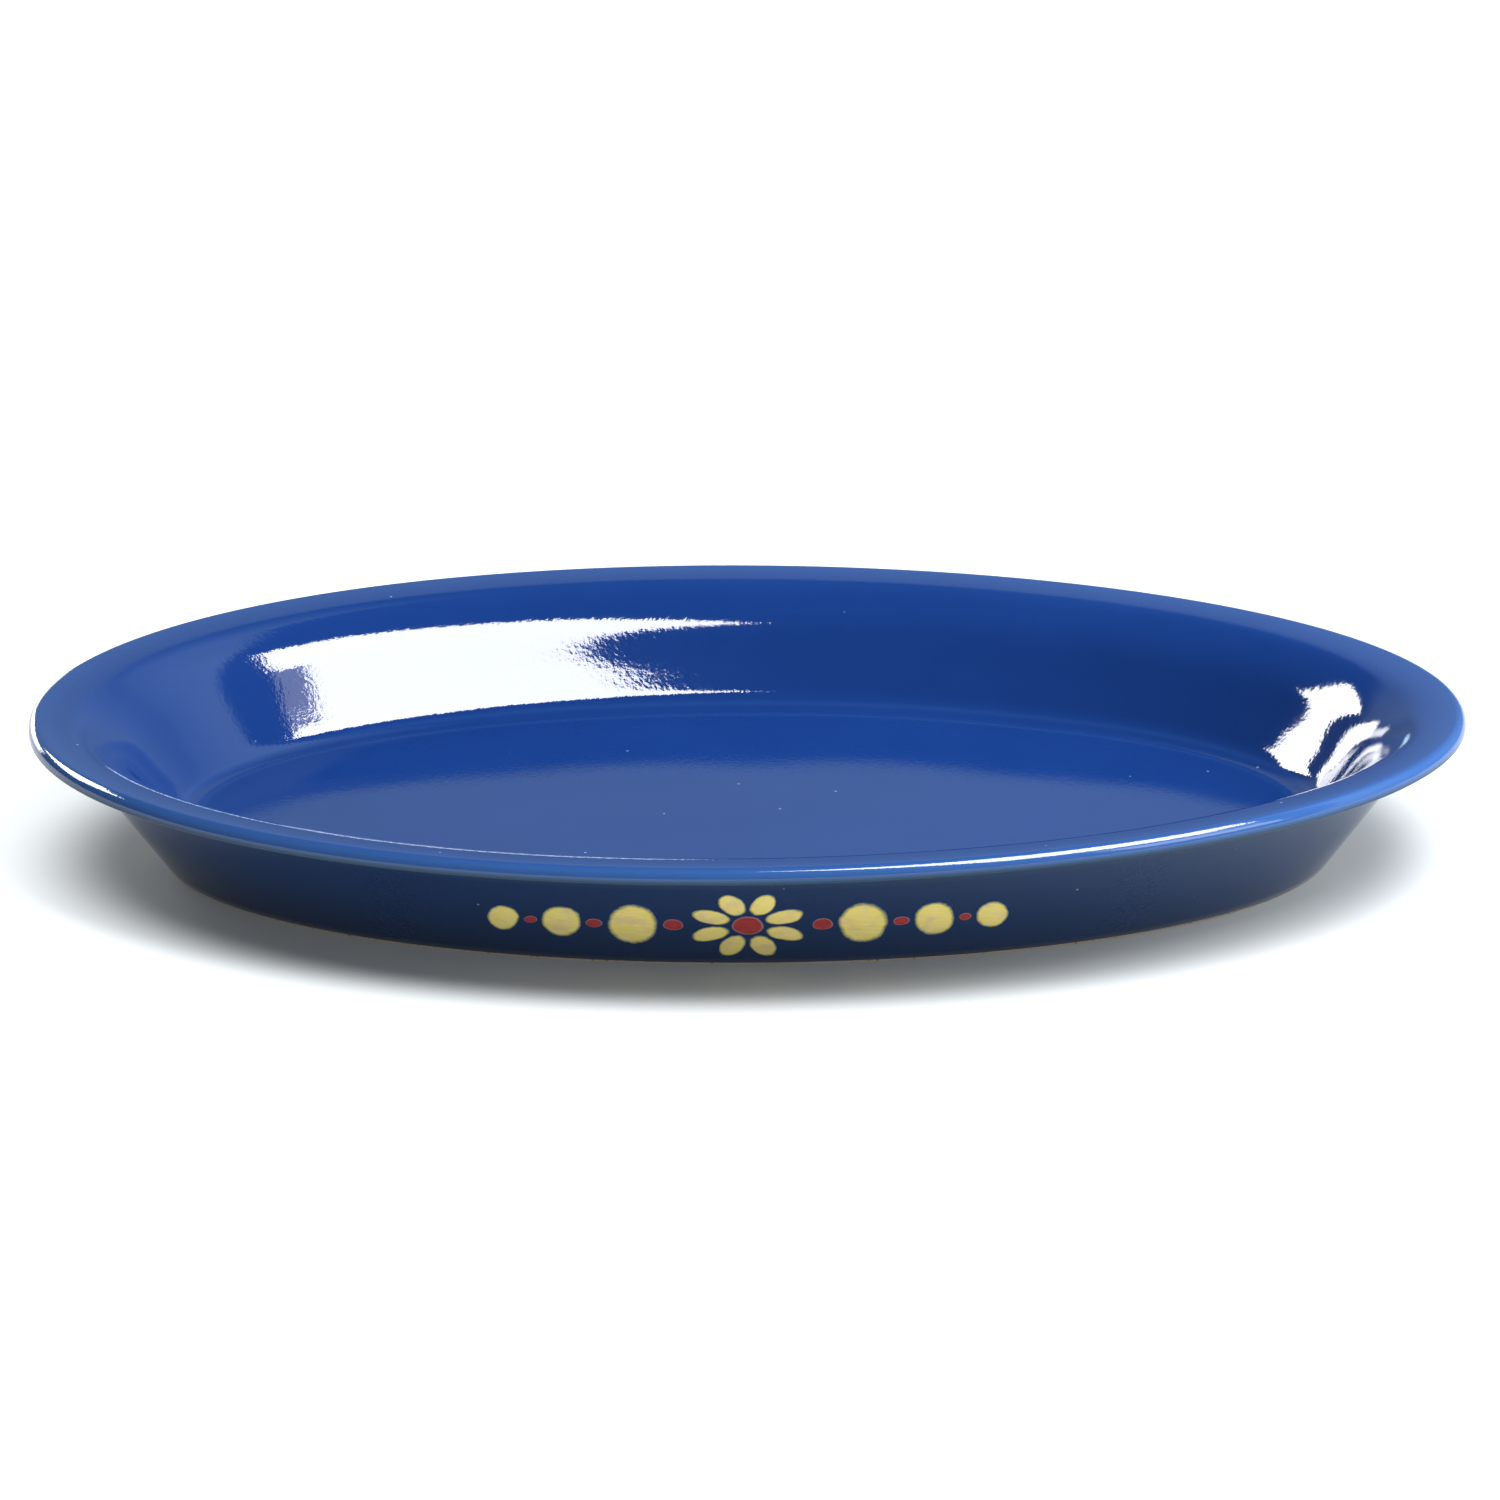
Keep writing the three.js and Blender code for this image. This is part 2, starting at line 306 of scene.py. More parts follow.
def oval_piece(name, line, carried, material):
    """A closed oval piece from a section line that starts and ends on the axis, and its carried values."""
    # A ring keeps one inset all the way round. In the flat middle the rings shrink in proportion instead,
    # so that they close on the axis.
    flat_edge = floor_corner.x - floor_fillet
    narrower = half_length - half_width
    flat_ratio = (flat_edge - narrower) / flat_edge
    rows = [(p.x, p.x * flat_ratio if p.x < flat_edge else p.x - narrower, p.y) for p in line]
    mesh = bpy.data.meshes.new(name)
    mesh.from_pydata(rows, [(i, i + 1) for i in range(len(rows) - 1)], [])
    for label in carried_values:
        values = carried.get(label, [0] * len(rows))
        mesh.attributes.new(label, "FLOAT", "POINT").data.foreach_set("value", values)
    return made_by_rule(name, mesh, oval, oval_inputs, {
        "Sides": 256, "Rows": len(rows), "Half Length": half_length, "Height": height, "Twist": kiln_twist,
        "Unevenness": unevenness, "Wave Length": uneven_pitch, "Material": material,
    })


def linear(code):
    """sRGB hex to linear red, green, blue, alpha."""
    parts = [int(code[i:i + 2], 16) / 255 for i in (1, 3, 5)]
    return (*[p / 12.92 if p <= 0.04045 else ((p + 0.055) / 1.055) ** 2.4 for p in parts], 1.0)


def new_material(name, roughness, ior):
    """A material with its plain settings, and its node tree, its shader and the Object coordinates."""
    material = bpy.data.materials.new(name)
    material.use_nodes = True
    tree = material.node_tree
    shader = tree.nodes["Principled BSDF"]
    shader.inputs["Roughness"].default_value = roughness
    shader.inputs["IOR"].default_value = ior
    return material, tree, shader, node(tree, "ShaderNodeTexCoord").outputs["Object"]


# Bare fired stoneware: a warm buff with darker grains of grog, dry and matt to the eye.
# Its sand is drawn at 0.8 mm, coarser than real sand, so that it shows.
bare_stoneware, tree, shader, where = new_material("bare fired stoneware", roughness=0.88, ior=1.45)
grog = node(tree, "ShaderNodeTexVoronoi",
            {"Vector": where, "Scale": 1 / (1.6 * MM)}, feature="F1").outputs["Distance"]
grog = node(tree, "ShaderNodeMapRange", {"Value": grog, "From Min": 0.12, "From Max": 0.3}).outputs[0]
cloud = node(tree, "ShaderNodeTexNoise",
             {"Vector": where, "Scale": 1 / (14 * MM), "Detail": 4.0}).outputs["Fac"]
# A Mix node's two colours go in at 6 and 7, and the mixed one comes out at 2. For numbers it is 2, 3 and 0.
buff = node(tree, "ShaderNodeMix",
            {0: cloud, 6: linear("#c9b594"), 7: linear("#ddceb2")}, data_type="RGBA").outputs[2]
buff = node(tree, "ShaderNodeMix", {0: grog, 6: linear("#a98d68"), 7: buff}, data_type="RGBA").outputs[2]
tree.links.new(buff, shader.inputs["Base Color"])
sand = node(tree, "ShaderNodeTexNoise",
            {"Vector": where, "Scale": 1 / (0.8 * MM), "Detail": 3.0}).outputs["Fac"]
grit = node(tree, "ShaderNodeBump", {"Height": sand, "Strength": 0.5, "Distance": 0.03 * MM}).outputs[0]
tree.links.new(grit, shader.inputs["Normal"])

foot_chamfer = 0.6 * MM
under_line = rounded([
    (clay_line[-1].x - foot_chamfer, 0, 0),
    (foot_inner, 0, foot_inner_radius),
    (foot_inner, foot_height, foot_inner_radius),
    (0, foot_height, 0),
], arc_step=math.radians(10), longest=4 * MM)
whole_line = [Vector((0, clay_line[0].y)), *clay_line[1:], *under_line]
clay = oval_piece("clay_body_fine", whole_line, {"uneven": uneven + [0] * len(under_line)}, bare_stoneware)
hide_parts("clay_body")


# The glaze coat: cobalt-blue glass, poured and fired over the inside, the lip and the outside, in one skin.
# It runs thin over the lip, which is drawn paler both for that and as painted light; the outside wall is
# drawn darker as painted shade; and it stops just above the foot.
# Under the lip, where little of it reaches, it stays dry.

# Cobalt glaze: deep blue with a mirror gloss that orange peel breaks up, and a few pale pinholes.
# It is paler where thin and where light is painted on, darker as painted shade and cooler in its gloss on the
# outside wall, and a dull slate where dry.
deep_blue, clear_blue = linear("#0b2659"), linear("#0f2a60")
# Paler blue where the glaze runs thin over the rim and lip, also standing in for light falling there: partly
# painted light.
thin_and_lit_blue = linear("#27477a")
# Painted shade: the outside wall is drawn in this darker blue for the shade that falls on it.
shaded_outside_blue = linear("#11274c")
dry_slate = linear("#2a4055")
pinhole_pale = linear("#7f93b4")
plain_gloss, outside_gloss = linear("#ffffff"), linear("#daffff")
outside_dullness = 0.2
cobalt_glaze, tree, shader, where = new_material("cobalt blue stoneware glaze", roughness=0.05, ior=1.56)
coat = node(tree, "ShaderNodeAttribute", attribute_name="coat").outputs["Fac"]
dry = node(tree, "ShaderNodeAttribute", attribute_name="dry").outputs["Fac"]
# The share of the paler blue: thin glaze, painted light on the rim and lip, and painted highlights on the
# ridges.
thin = node(tree, "ShaderNodeMapRange", {"Value": coat, "From Min": 0.0, "From Max": -1.0}).outputs[0]
# The outside wall's share, where the blue is drawn darker as painted shade and the gloss is duller and
# cooler.
outside_share = node(tree, "ShaderNodeMapRange", {"Value": coat, "From Min": 0.0, "From Max": 1.0}).outputs[0]
cloud = node(tree, "ShaderNodeTexNoise",
             {"Vector": where, "Scale": 1 / (22 * MM), "Detail": 3.0}).outputs["Fac"]
pin = node(tree, "ShaderNodeTexVoronoi",
           {"Vector": where, "Scale": 1 / (13 * MM)}, feature="F1").outputs["Distance"]
pin = node(tree, "ShaderNodeMapRange",
           {"Value": pin, "From Min": 0.03, "From Max": 0.02, "To Max": 0.5}).outputs[0]
blue = node(tree, "ShaderNodeMix", {0: cloud, 6: deep_blue, 7: clear_blue}, data_type="RGBA").outputs[2]
for share, colour in ((thin, thin_and_lit_blue), (outside_share, shaded_outside_blue), (dry, dry_slate), (pin, pinhole_pale)):
    blue = node(tree, "ShaderNodeMix", {0: share, 6: blue, 7: colour}, data_type="RGBA").outputs[2]
tree.links.new(blue, shader.inputs["Base Color"])
dull = node(tree, "ShaderNodeMath", {0: outside_share, 1: outside_dullness}, operation="MULTIPLY").outputs[0]
dull = node(tree, "ShaderNodeMath", {0: dull, 1: dry}, operation="MAXIMUM").outputs[0]
gloss = node(tree, "ShaderNodeMapRange", {"Value": dull, "To Min": 0.5, "To Max": 0.1}).outputs[0]
tree.links.new(gloss, shader.inputs["Specular IOR Level"])
tint = node(tree, "ShaderNodeMix", {0: outside_share, 6: plain_gloss, 7: outside_gloss}, data_type="RGBA").outputs[2]
tree.links.new(tint, shader.inputs["Specular Tint"])
peel = node(tree, "ShaderNodeTexNoise",
            {"Vector": where, "Scale": 1 / (1.1 * MM), "Detail": 2.0}).outputs["Fac"]
ripple = node(tree, "ShaderNodeBump", {"Height": peel, "Strength": 1.0, "Distance": 0.024 * MM}).outputs[0]
tree.links.new(ripple, shader.inputs["Normal"])

# The coat pales in steps, for thinner glaze and painted light: a little across the rim and on the ridges
# (painted highlights), more at the rim's edge, and fully over the lip. Insets give where each step starts and
# is full.
# Depths give the outside wall's painted shade and the dry band under the lip.
rim_thinning, edge_thinning, ridge_thinning = 0.1, 0.2, 0.16
rim_start, rim_full = 16 * MM, 8 * MM
lip_start, lip_full = 2.5 * MM, 0.7 * MM
outside_shade_depth = 3 * MM
dry_start, dry_full = 2.3 * MM, 3.6 * MM
dry_fade, dry_end = 2 * MM, 6 * MM
ridge_half_width = 0.7 * MM
ridge_crests = [ridge_inset + (k + 0.5) * ridge_pitch for k in range(ridge_count)]
lip_end = seen_line[lip_rows[-1]].y
coat, dry = [], []
for i, p in enumerate(seen_line):
    if i < lip_rows[0]:
        on_ridge = max(math.exp(-((inset(p) - crest) / ridge_half_width) ** 2) for crest in ridge_crests)
        on_ridge = on_ridge if p.y < fine_high else 0
        on_rim = ramp(inset(p), rim_start, rim_full)
        on_edge = ramp(inset(p), rim_full, lip_depth)
        coat.append(-rim_thinning * on_rim - edge_thinning * on_edge - ridge_thinning * on_ridge)
        dry.append(0)
        continue
    if i <= lip_rows[-1]:
        # Over the lip the blue pales fully, for thin glaze and painted light together.
        before = rim_thinning + edge_thinning
        coat.append(-before - (1 - before) * ramp(inset(p), lip_start, lip_full))
    else:
        # On the outside wall the painted shade comes in full within this depth below the lip.
        coat.append(ramp(lip_end - p.y, 0, outside_shade_depth))
    dry.append(min(ramp(lip_corner - p.y, dry_start, dry_full), ramp(under_lip - p.y, dry_end, dry_fade)))
skin_line = seen_line + [Vector(p) for p in reversed(clay_line)]
skin_line[0].x = skin_line[-1].x = 0
both_faces = {"coat": coat + coat[::-1], "dry": dry + dry[::-1], "uneven": uneven + uneven[::-1]}
glaze = oval_piece("glaze_coat_fine", skin_line, both_faces, cobalt_glaze)
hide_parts("glaze_coat")


# The glazed recess under the floor, inside the bare foot ring: the same blue glass in a flat panel.
# It is poured in and wiped off the foot, so that the dish doesn't stick to the kiln shelf.
panel_edge = foot_inner - foot_inner_radius
panel_edge_radius = 0.3 * MM
panel_line = rounded([
    (0, foot_height, 0),
    (panel_edge, foot_height, 0),
    (panel_edge, foot_height - glaze_thickness, panel_edge_radius),
    (0, foot_height - glaze_thickness, 0),
], arc_step=math.radians(15), longest=6 * MM)
panel = oval_piece("base_glaze_fine", panel_line, {}, cobalt_glaze)
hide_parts("base_glaze")


# The painted ornament in the middle of the front: a daisy with a red eye, between rows of beads and dots.
# Each is one touch of a loaded brush: coloured enamel laid on the raw glaze and melted into it in the firing.
dabs, dab_inputs = shape_rule("brush dabs on the outside wall", "Dab Middles", {
    "Foot Length": "Float", "Foot Height": "Float", "Slope": "Float", "Oval Difference": "Float",
    "Climb": "Float", "Thickness": "Float", "Seat": "Float", "Wobble": "Float", "Wobble Length": "Float",
    "Half Length": "Float", "Height": "Float", "Twist": "Float", "Material": "Material",
})
given = node(dabs, "NodeGroupInput").outputs
position = node(dabs, "GeometryNodeInputPosition").outputs[0]
ball = node(dabs, "GeometryNodeMeshUVSphere", {"Segments": 48, "Rings": 20, "Radius": 1.0}).outputs["Mesh"]
ball = node(dabs, "GeometryNodeStoreNamedAttribute", {"Geometry": ball, "Name": "dab", "Value": position},
            data_type="FLOAT_VECTOR", domain="POINT").outputs[0]
sizes = {}
for label in ("length", "breadth", "tilt"):
    sizes[label] = node(dabs, "GeometryNodeInputNamedAttribute",
                        {"Name": label}, data_type="FLOAT").outputs["Attribute"]
half_long = node(dabs, "ShaderNodeMath", {0: sizes["length"], 1: 0.5}, operation="MULTIPLY").outputs[0]
half_broad = node(dabs, "ShaderNodeMath", {0: sizes["breadth"], 1: 0.5}, operation="MULTIPLY").outputs[0]
scale = node(dabs, "ShaderNodeCombineXYZ",
             {"X": half_long, "Y": half_broad, "Z": given["Thickness"]}).outputs[0]
turn = node(dabs, "ShaderNodeCombineXYZ", {"Z": sizes["tilt"]}).outputs[0]
turn = node(dabs, "FunctionNodeEulerToRotation", {"Euler": turn}).outputs[0]
laid = node(dabs, "GeometryNodeInstanceOnPoints",
            {"Points": given["Dab Middles"], "Instance": ball, "Rotation": turn, "Scale": scale}).outputs[0]
laid = node(dabs, "GeometryNodeRealizeInstances", {0: laid}).outputs[0]
# The brush never draws a true oval: the outline wanders a little.
pitch = node(dabs, "ShaderNodeMath", {0: 1.0, 1: given["Wobble Length"]}, operation="DIVIDE").outputs[0]
wander = node(dabs, "ShaderNodeTexNoise",
              {"Vector": position, "Scale": pitch, "Detail": 1.0}).outputs["Color"]
wander = node(dabs, "ShaderNodeVectorMath", {0: wander, 1: (0.5, 0.5, 0.5)}, operation="SUBTRACT").outputs[0]
reach = node(dabs, "ShaderNodeCombineXYZ", {"X": given["Wobble"], "Y": given["Wobble"]}).outputs[0]
wander = node(dabs, "ShaderNodeVectorMath", {0: wander, 1: reach}, operation="MULTIPLY").outputs[0]
laid = node(dabs, "GeometryNodeSetPosition", {"Geometry": laid, "Offset": wander}).outputs[0]
# The flat dabs are bent onto the wall: across keeps its width, up follows the slope, the dome stands off it.
flat = node(dabs, "ShaderNodeSeparateXYZ", {0: position}).outputs
climb = node(dabs, "ShaderNodeMath", {0: flat["Y"], 1: given["Climb"]}, operation="ADD").outputs[0]
proud = node(dabs, "ShaderNodeMath", {0: flat["Z"], 1: 0.0}, operation="MAXIMUM").outputs[0]
proud = node(dabs, "ShaderNodeMath", {0: proud, 1: given["Seat"]}, operation="ADD").outputs[0]
level = node(dabs, "ShaderNodeMath", {0: given["Slope"]}, operation="COSINE").outputs[0]
steep = node(dabs, "ShaderNodeMath", {0: given["Slope"]}, operation="SINE").outputs[0]
long_axis = node(dabs, "ShaderNodeMath",
                 {0: climb, 1: level, 2: given["Foot Length"]}, operation="MULTIPLY_ADD").outputs[0]
short_axis = node(dabs, "ShaderNodeMath",
                  {0: long_axis, 1: given["Oval Difference"]}, operation="SUBTRACT").outputs[0]
cosine = node(dabs, "ShaderNodeMath", {0: flat["X"], 1: long_axis}, operation="DIVIDE").outputs[0]
sine = node(dabs, "ShaderNodeMath", {0: cosine, 1: cosine}, operation="MULTIPLY").outputs[0]
sine = node(dabs, "ShaderNodeMath", {0: 1.0, 1: sine}, operation="SUBTRACT").outputs[0]
sine = node(dabs, "ShaderNodeMath", {0: sine, 1: 0.5}, operation="POWER").outputs[0]
sine = node(dabs, "ShaderNodeMath", {0: sine, 1: -1.0}, operation="MULTIPLY").outputs[0]
front = node(dabs, "ShaderNodeMath", {0: short_axis, 1: sine}, operation="MULTIPLY").outputs[0]
high = node(dabs, "ShaderNodeMath",
            {0: climb, 1: steep, 2: given["Foot Height"]}, operation="MULTIPLY_ADD").outputs[0]
# The dabs follow the kiln's twist: the sine of twice the angle is twice the sine times the cosine.
lift = node(dabs, "ShaderNodeMath", {0: cosine, 1: sine}, operation="MULTIPLY").outputs[0]
lift = node(dabs, "ShaderNodeMath", {0: lift, 1: given["Twist"]}, operation="MULTIPLY").outputs[0]
lift = node(dabs, "ShaderNodeMath", {0: lift, 1: 2.0}, operation="MULTIPLY").outputs[0]
share = node(dabs, "ShaderNodeMath", {0: long_axis, 1: given["Half Length"]}, operation="DIVIDE").outputs[0]
share = node(dabs, "ShaderNodeMath", {0: share, 1: 2.0}, operation="POWER").outputs[0]
share = node(dabs, "ShaderNodeMath", {0: share, 1: high}, operation="MULTIPLY").outputs[0]
share = node(dabs, "ShaderNodeMath", {0: share, 1: given["Height"]}, operation="DIVIDE").outputs[0]
high = node(dabs, "ShaderNodeMath", {0: lift, 1: share, 2: high}, operation="MULTIPLY_ADD").outputs[0]
out_x = node(dabs, "ShaderNodeMath", {0: cosine, 1: long_axis}, operation="DIVIDE").outputs[0]
out_y = node(dabs, "ShaderNodeMath", {0: sine, 1: short_axis}, operation="DIVIDE").outputs[0]
outward = node(dabs, "ShaderNodeCombineXYZ", {"X": out_x, "Y": out_y}).outputs[0]
outward = node(dabs, "ShaderNodeVectorMath", {0: outward}, operation="NORMALIZE").outputs[0]
outward = node(dabs, "ShaderNodeVectorMath", {0: outward, "Scale": steep}, operation="SCALE").outputs[0]
level = node(dabs, "ShaderNodeMath", {0: level, 1: -1.0}, operation="MULTIPLY").outputs[0]
down = node(dabs, "ShaderNodeCombineXYZ", {"Z": level}).outputs[0]
outward = node(dabs, "ShaderNodeVectorMath", {0: outward, 1: down}, operation="ADD").outputs[0]
outward = node(dabs, "ShaderNodeVectorMath", {0: outward, "Scale": proud}, operation="SCALE").outputs[0]
on_wall = node(dabs, "ShaderNodeCombineXYZ", {"X": flat["X"], "Y": front, "Z": high}).outputs[0]
on_wall = node(dabs, "ShaderNodeVectorMath", {0: on_wall, 1: outward}, operation="ADD").outputs[0]
laid = node(dabs, "GeometryNodeSetPosition", {"Geometry": laid, "Position": on_wall}).outputs[0]
laid = node(dabs, "GeometryNodeSetShadeSmooth", {"Geometry": laid}).outputs[0]
laid = node(dabs, "GeometryNodeRealizeInstances", {0: laid}).outputs[0]
laid = node(dabs, "GeometryNodeSetMaterial", {"Geometry": laid, "Material": given["Material"]}).outputs[0]
node(dabs, "NodeGroupOutput", {"Mesh": laid})

# Both enamels are opaque in the middle of a stroke, streaked along it by the brush, and run out into the blue
# at its ragged edge. "dab" is a point's place on the ball that the stroke was drawn from. There are about
# eight streaks to half a stroke's breadth, so each is 0.2 to 1.1 mm wide.
run_out_blue = "#173264"
raggedness = 0.14
streak_stretch = (0.6, 5.0, 0.0)
enamels = {}
for label, full, pale, thin, edge in [
    ("yellow enamel in the glaze", "#e3cf6c", "#e6d39c", "#d3b98a", "#8a8b55"),
    ("brick red enamel in the glaze", "#93292b", "#a03a35", "#832022", "#8d6c6e"),
]:
    enamels[label], tree, shader, where = new_material(label, roughness=0.09, ior=1.56)
    local = node(tree, "ShaderNodeAttribute", attribute_name="dab").outputs["Vector"]
    part = node(tree, "ShaderNodeVectorMath", {0: local, 1: (1.0, 1.0, 0.0)}, operation="MULTIPLY").outputs[0]
    radius = node(tree, "ShaderNodeVectorMath", {0: part}, operation="LENGTH").outputs["Value"]
    ragged = node(tree, "ShaderNodeTexNoise",
                  {"Vector": where, "Scale": 1 / (1.5 * MM), "Detail": 3.0}).outputs["Fac"]
    radius = node(tree, "ShaderNodeMath",
                  {0: ragged, 1: raggedness, 2: radius}, operation="MULTIPLY_ADD").outputs[0]
    streak = node(tree, "ShaderNodeVectorMath",
                  {0: local, 1: streak_stretch}, operation="MULTIPLY").outputs[0]
    streak = node(tree, "ShaderNodeVectorMath", {0: streak, 1: where}, operation="ADD").outputs[0]
    streak = node(tree, "ShaderNodeTexNoise", {"Vector": streak, "Scale": 1.6, "Detail": 3.0}).outputs["Fac"]
    streak = node(tree, "ShaderNodeMapRange", {"Value": streak, "From Min": 0.45, "From Max": 0.7}).outputs[0]
    mottle = node(tree, "ShaderNodeTexNoise",
                  {"Vector": where, "Scale": 1 / (4.5 * MM), "Detail": 4.0}).outputs["Fac"]
    mottle = node(tree, "ShaderNodeMapRange",
                  {"Value": mottle, "From Min": 0.5, "From Max": 0.68, "To Max": 0.75}).outputs[0]
    rim = node(tree, "ShaderNodeMapRange", {"Value": radius, "From Min": 0.84, "From Max": 1.0},
               interpolation_type="SMOOTHSTEP").outputs[0]
    gone = node(tree, "ShaderNodeMapRange", {"Value": radius, "From Min": 0.96, "From Max": 1.05},
                interpolation_type="SMOOTHSTEP").outputs[0]
    colour = linear(full)
    for share, code in ((streak, pale), (mottle, thin), (rim, edge), (gone, run_out_blue)):
        colour = node(tree, "ShaderNodeMix",
                      {0: share, 6: colour, 7: linear(code)}, data_type="RGBA").outputs[2]
    tree.links.new(colour, shader.inputs["Base Color"])
    peel = node(tree, "ShaderNodeTexNoise",
                {"Vector": where, "Scale": 1 / (1.1 * MM), "Detail": 2.0}).outputs["Fac"]
    ripple = node(tree, "ShaderNodeBump",
                  {"Height": peel, "Strength": 1.0, "Distance": 0.004 * MM}).outputs[0]
    tree.links.new(ripple, shader.inputs["Normal"])

ornament_height = 14 * MM
petal_count = 8
petal_radius = 9.6 * MM
petal_length = 10 * MM
petal_breadth = 6.2 * MM
eye_size = 8.2 * MM
row_count = 3
row_taper = 0.8
bead_length = 12.5 * MM
bead_breadth = 18 * MM
dot_size = 5 * MM
dab_gap = 0.9 * MM
wall_up = neck - foot
wall_slope = math.atan2(wall_up.y, wall_up.x)
wall_sizes = {
    "Foot Length": foot.x, "Foot Height": foot.y, "Slope": wall_slope,
    "Oval Difference": half_length - half_width, "Climb": (ornament_height - foot.y) / math.sin(wall_slope),
    "Thickness": 0.16 * MM, "Seat": 0.03 * MM, "Wobble": 1.2 * MM, "Wobble Length": 7 * MM,
    "Half Length": half_length, "Height": height, "Twist": kiln_twist,
}

# A stroke is its place across and up, its length, its breadth and its tilt.
eye = [(0, 0, eye_size, eye_size, 0)]
petals, beads, dots = [], [], []
for k in range(petal_count):
    angle = (k + 0.5) * math.tau / petal_count
    across, up = petal_radius * math.cos(angle), petal_radius * math.sin(angle)
    petals.append((across, up, petal_length, petal_breadth, angle))
for sign in (-1, 1):
    reached = petal_radius + petal_length / 2
    for k in range(row_count):
        dot, long, broad = (size * row_taper ** k for size in (dot_size, bead_length, bead_breadth))
        dots.append((sign * (reached + dab_gap + dot / 2), 0, dot, dot, 0))
        reached += dab_gap + dot
        beads.append((sign * (reached + dab_gap + long / 2), 0, long, broad, 0))
        reached += dab_gap + long
petal_nodes = [f"petal_{k + 1}" for k in range(petal_count)]
bead_nodes = [f"{side}_bead_{k + 1}" for side in ("left", "right") for k in range(row_count)]
dot_nodes = [f"{side}_dot_{k + 1}" for side in ("left", "right") for k in range(row_count)]
for name, strokes, enamel, nodes, slot in [
    ("daisy_petals", petals, "yellow enamel in the glaze", petal_nodes, "yellow_paint"),
    ("yellow_beads", beads, "yellow enamel in the glaze", bead_nodes, "yellow_paint"),
    ("daisy_eye_fine", eye, "brick red enamel in the glaze", ["daisy_eye"], "red_paint"),
    ("red_dots", dots, "brick red enamel in the glaze", dot_nodes, "red_paint"),
]:
    middles = bpy.data.meshes.new(name)
    middles.from_pydata([(across, up, 0) for across, up, *_ in strokes], [], [])
    for column, label in ((2, "length"), (3, "breadth"), (4, "tilt")):
        values = [stroke[column] for stroke in strokes]
        middles.attributes.new(label, "FLOAT", "POINT").data.foreach_set("value", values)
    piece = made_by_rule(name, middles, dabs, dab_inputs, {**wall_sizes, "Material": enamels[enamel]})
    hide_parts(*nodes)


# The studio: a pale floor under a large softbox above on the right, with windows on the left and behind,
# in a dim room with a pale board behind on the right. A few soft lamps only fill in the shadows.

# The floor is pale matt acrylic that glows, painted light standing in for light from below, so that it shows
# white;
# its glow is brighter on the left, where it pales the dish's shadow, and left dark under the dish so that a
# soft shadow stays round it.
floor_reach = 8
floor_corners = [(-1, -1), (1, -1), (1, 1), (-1, 1)]
floor_mesh = bpy.data.meshes.new("floor")
floor_mesh.from_pydata([(floor_reach * x, floor_reach * y, 0) for x, y in floor_corners], [], [(0, 1, 2, 3)])
floor = bpy.data.objects.new("floor", floor_mesh)
bpy.context.scene.collection.objects.link(floor)
acrylic, tree, shader, where = new_material("pale backdrop acrylic", roughness=0.9, ior=1.5)
shader.inputs["Base Color"].default_value = linear("#909395")
shader.inputs["Emission Color"].default_value = linear("#f9fdff")
apart = node(tree, "ShaderNodeVectorMath",
             {0: where, 1: (half_length, half_width, 1)}, operation="DIVIDE").outputs[0]
apart = node(tree, "ShaderNodeVectorMath", {0: apart}, operation="LENGTH").outputs["Value"]
side = node(tree, "ShaderNodeSeparateXYZ", {0: where}).outputs["X"]
# Painted light: the glow is stronger on the left, where it fills the shadow that the dish casts.
side = node(tree, "ShaderNodeMapRange",
            {"Value": side, "From Min": -0.2, "From Max": 0.1, "To Min": 0.867, "To Max": 0.408}).outputs[0]
glow = node(tree, "ShaderNodeMapRange",
            {"Value": apart, "From Min": 0.86, "From Max": 1.05, "To Min": 0.061, "To Max": side},
            interpolation_type="SMOOTHSTEP").outputs[0]
tree.links.new(glow, shader.inputs["Emission Strength"])
floor_mesh.materials.append(acrylic)

# The room behind is pale and grows brighter upwards; elsewhere it is dim, and dark overhead.
room_tint = (0.74, 1.0, 1.16, 1)
world = bpy.data.worlds.new("studio")
bpy.context.scene.world = world
world.use_nodes = True
tree = world.node_tree
bearing = node(tree, "ShaderNodeTexCoord").outputs["Generated"]
way = node(tree, "ShaderNodeSeparateXYZ", {0: bearing}).outputs
behind = node(tree, "ShaderNodeMapRange", {"Value": way["Y"], "From Min": 0.7, "From Max": 0.8},
              interpolation_type="SMOOTHSTEP").outputs[0]
rise = node(tree, "ShaderNodeMapRange",
            {"Value": way["Z"], "From Min": 0.14, "From Max": 0.3, "To Min": 0.21, "To Max": 0.38},
            interpolation_type="SMOOTHSTEP").outputs[0]
rest = node(tree, "ShaderNodeMapRange",
            {"Value": way["Z"], "From Min": 0.3, "From Max": 0.6, "To Min": 0.12, "To Max": 0.04}).outputs[0]
room = node(tree, "ShaderNodeMix", {0: behind, 2: rest, 3: rise}, data_type="FLOAT").outputs[0]
# The board fills the room below a slanting plane on the right, and is brightest along that edge.
board_side = (0.297, 0.857, -0.42)
inside = node(tree, "ShaderNodeVectorMath",
              {0: bearing, 1: board_side}, operation="DOT_PRODUCT").outputs["Value"]
board = node(tree, "ShaderNodeMapRange", {"Value": inside, "From Min": 0.01, "From Max": 0.06},
             interpolation_type="SMOOTHSTEP").outputs[0]
right = node(tree, "ShaderNodeMapRange", {"Value": way["X"], "From Min": 0.1, "From Max": 0.5}).outputs[0]
board = node(tree, "ShaderNodeMath", {0: board, 1: right}, operation="MULTIPLY").outputs[0]
shine = node(tree, "ShaderNodeMapRange",
             {"Value": inside, "From Min": 0.05, "From Max": 0.5, "To Min": 1.15, "To Max": 0.38}).outputs[0]
light = node(tree, "ShaderNodeMix", {0: board, 2: room, 3: shine}, data_type="FLOAT").outputs[0]
background = tree.nodes["Background"].inputs
tree.links.new(light, background["Strength"])
background["Color"].default_value = room_tint

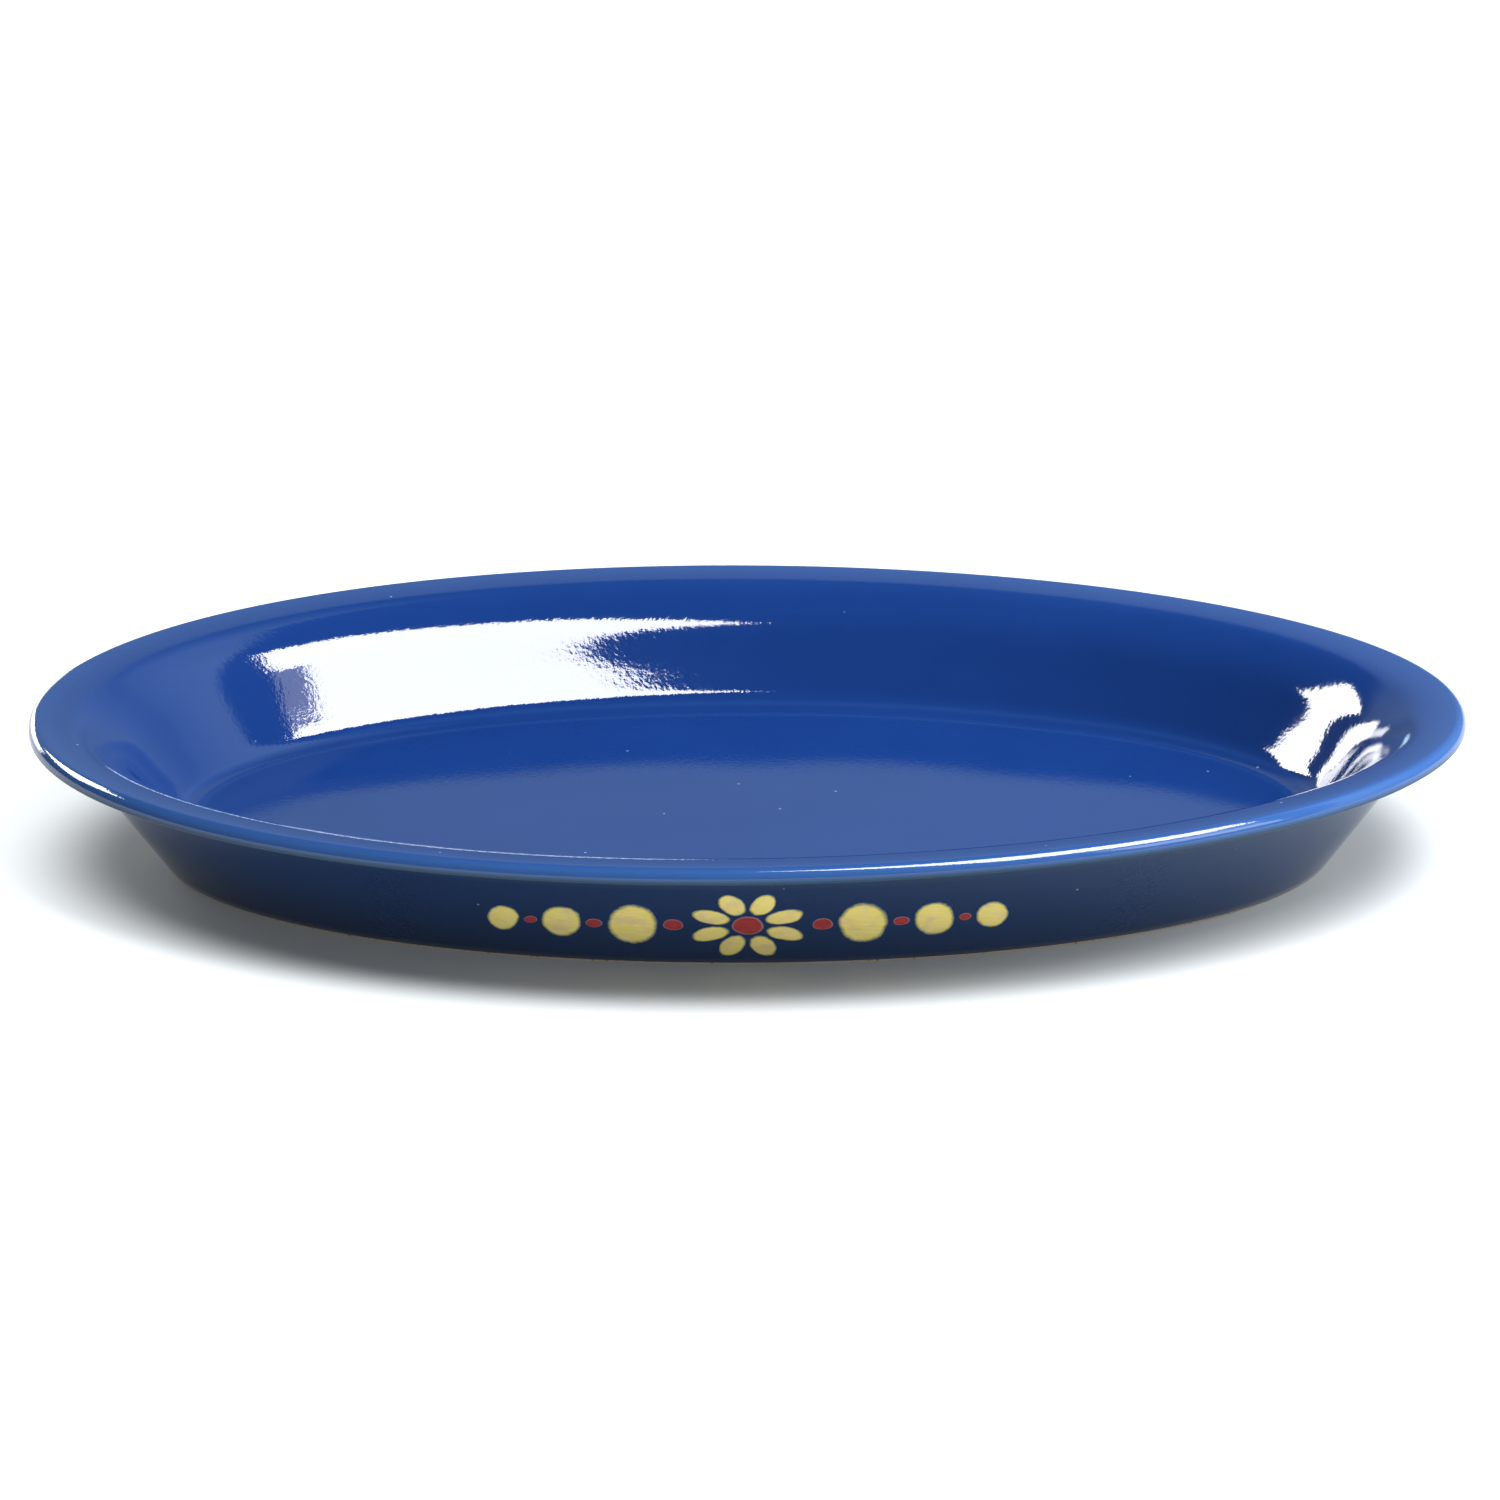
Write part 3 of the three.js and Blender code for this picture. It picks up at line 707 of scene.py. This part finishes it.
# Each lamp is a flat panel: its place, width and height in metres, and its radiance. The key softbox hangs
# level, turned on its post, in three parts with a dimmer end. The others face the dish. Four of them light it
# without showing in the glaze, and two only show in it.
softbox_turn = math.radians(45)
sky_blue = (0.75, 1.0, 1.2)
left_window = (-1.022, 0.858, 0.883)
only_lighting = ("front fill", "side window right", "backdrop lamp", "window left glow")
only_mirrored = ("window left seen", "window left middle")
for label, place, wide, tall, radiance in [
    ("key softbox", (0.6036, -0.4084, 1.3), 0.78, 0.94, 19.5),
    ("key softbox side", (0.823, 0.034, 1.3), 0.155, 0.605, 19.5),
    ("key softbox fade", (1.167, -0.286, 1.3), 0.19, 0.315, 2.5),
    ("fill softbox", (1.5, -1.0, 0.9), 0.9, 0.8, 4),
    ("front fill", (1.1, -1.9, 0.3), 1.4, 0.6, 6),
    ("side window right", (1.2, 0.1, 0.7), 0.8, 0.6, 16),
    ("window left seen", left_window, 0.74, 0.47, 17),
    ("window left glow", left_window, 0.74, 0.47, 8),
    ("window back low", (-0.07, 1.8, 0.09), 0.1, 0.18, 1.8),
    ("window left middle", (-0.876, 1.299, 0.32), 0.65, 0.31, 10),
    ("window left low", (-0.82, 1.364, 0.16), 0.98, 0.34, 3.6),
    ("backdrop lamp", (0.0, 2.2, 1.6), 1.4, 0.7, 6),
]:
    lamp = bpy.data.lights.new(label, "AREA")
    lamp.shape = "RECTANGLE"
    lamp.size, lamp.size_y = wide, tall
    lamp.energy = radiance * math.pi * wide * tall
    if label == "window back low":
        lamp.color = sky_blue
    panel_lamp = bpy.data.objects.new(label, lamp)
    bpy.context.scene.collection.objects.link(panel_lamp)
    panel_lamp.location = place
    panel_lamp.rotation_mode = "QUATERNION"
    if label.startswith("key"):
        panel_lamp.rotation_quaternion = Euler((0, 0, softbox_turn)).to_quaternion()
    else:
        panel_lamp.rotation_quaternion = Vector(place).to_track_quat("Z", "Y")
    panel_lamp.visible_camera = False
    panel_lamp.visible_glossy = label not in only_lighting
    panel_lamp.visible_diffuse = label not in only_mirrored

# The camera stands 4.86 m off with a long lens, 20 degrees above the table and a quarter of a degree askew.
# The photograph's side, and where the middle of the dish's foot falls in it at table height, are in pixels.
elevation = math.radians(20.362)
stand_off = 4.861
askew = math.radians(-0.227)
sensor_width = 36
photo_side = 1500
middle_column = 747.12
middle_row = 853.82
pixels_per_metre = 4097.9
focal_pixels = pixels_per_metre * stand_off
camera_data = bpy.data.cameras.new("camera")
camera_data.sensor_width = sensor_width
camera_data.lens = sensor_width * focal_pixels / photo_side
camera_data.clip_end = 50
camera = bpy.data.objects.new("camera", camera_data)
bpy.context.scene.collection.objects.link(camera)
eye_point = Vector((0, -math.cos(elevation), math.sin(elevation))) * stand_off
right_of_centre = math.atan2(middle_column - photo_side / 2, focal_pixels)
below_centre = math.atan2(middle_row - photo_side / 2, focal_pixels)
aim = (-eye_point).to_track_quat("-Z", "Y").to_matrix()
aim = aim @ Euler((below_centre, right_of_centre, 0)).to_matrix() @ Euler((0, 0, askew)).to_matrix()
camera.location = eye_point
camera.rotation_mode = "QUATERNION"
camera.rotation_quaternion = aim.to_quaternion()
bpy.context.scene.camera = camera
bpy.context.scene.view_settings.view_transform = "Standard"
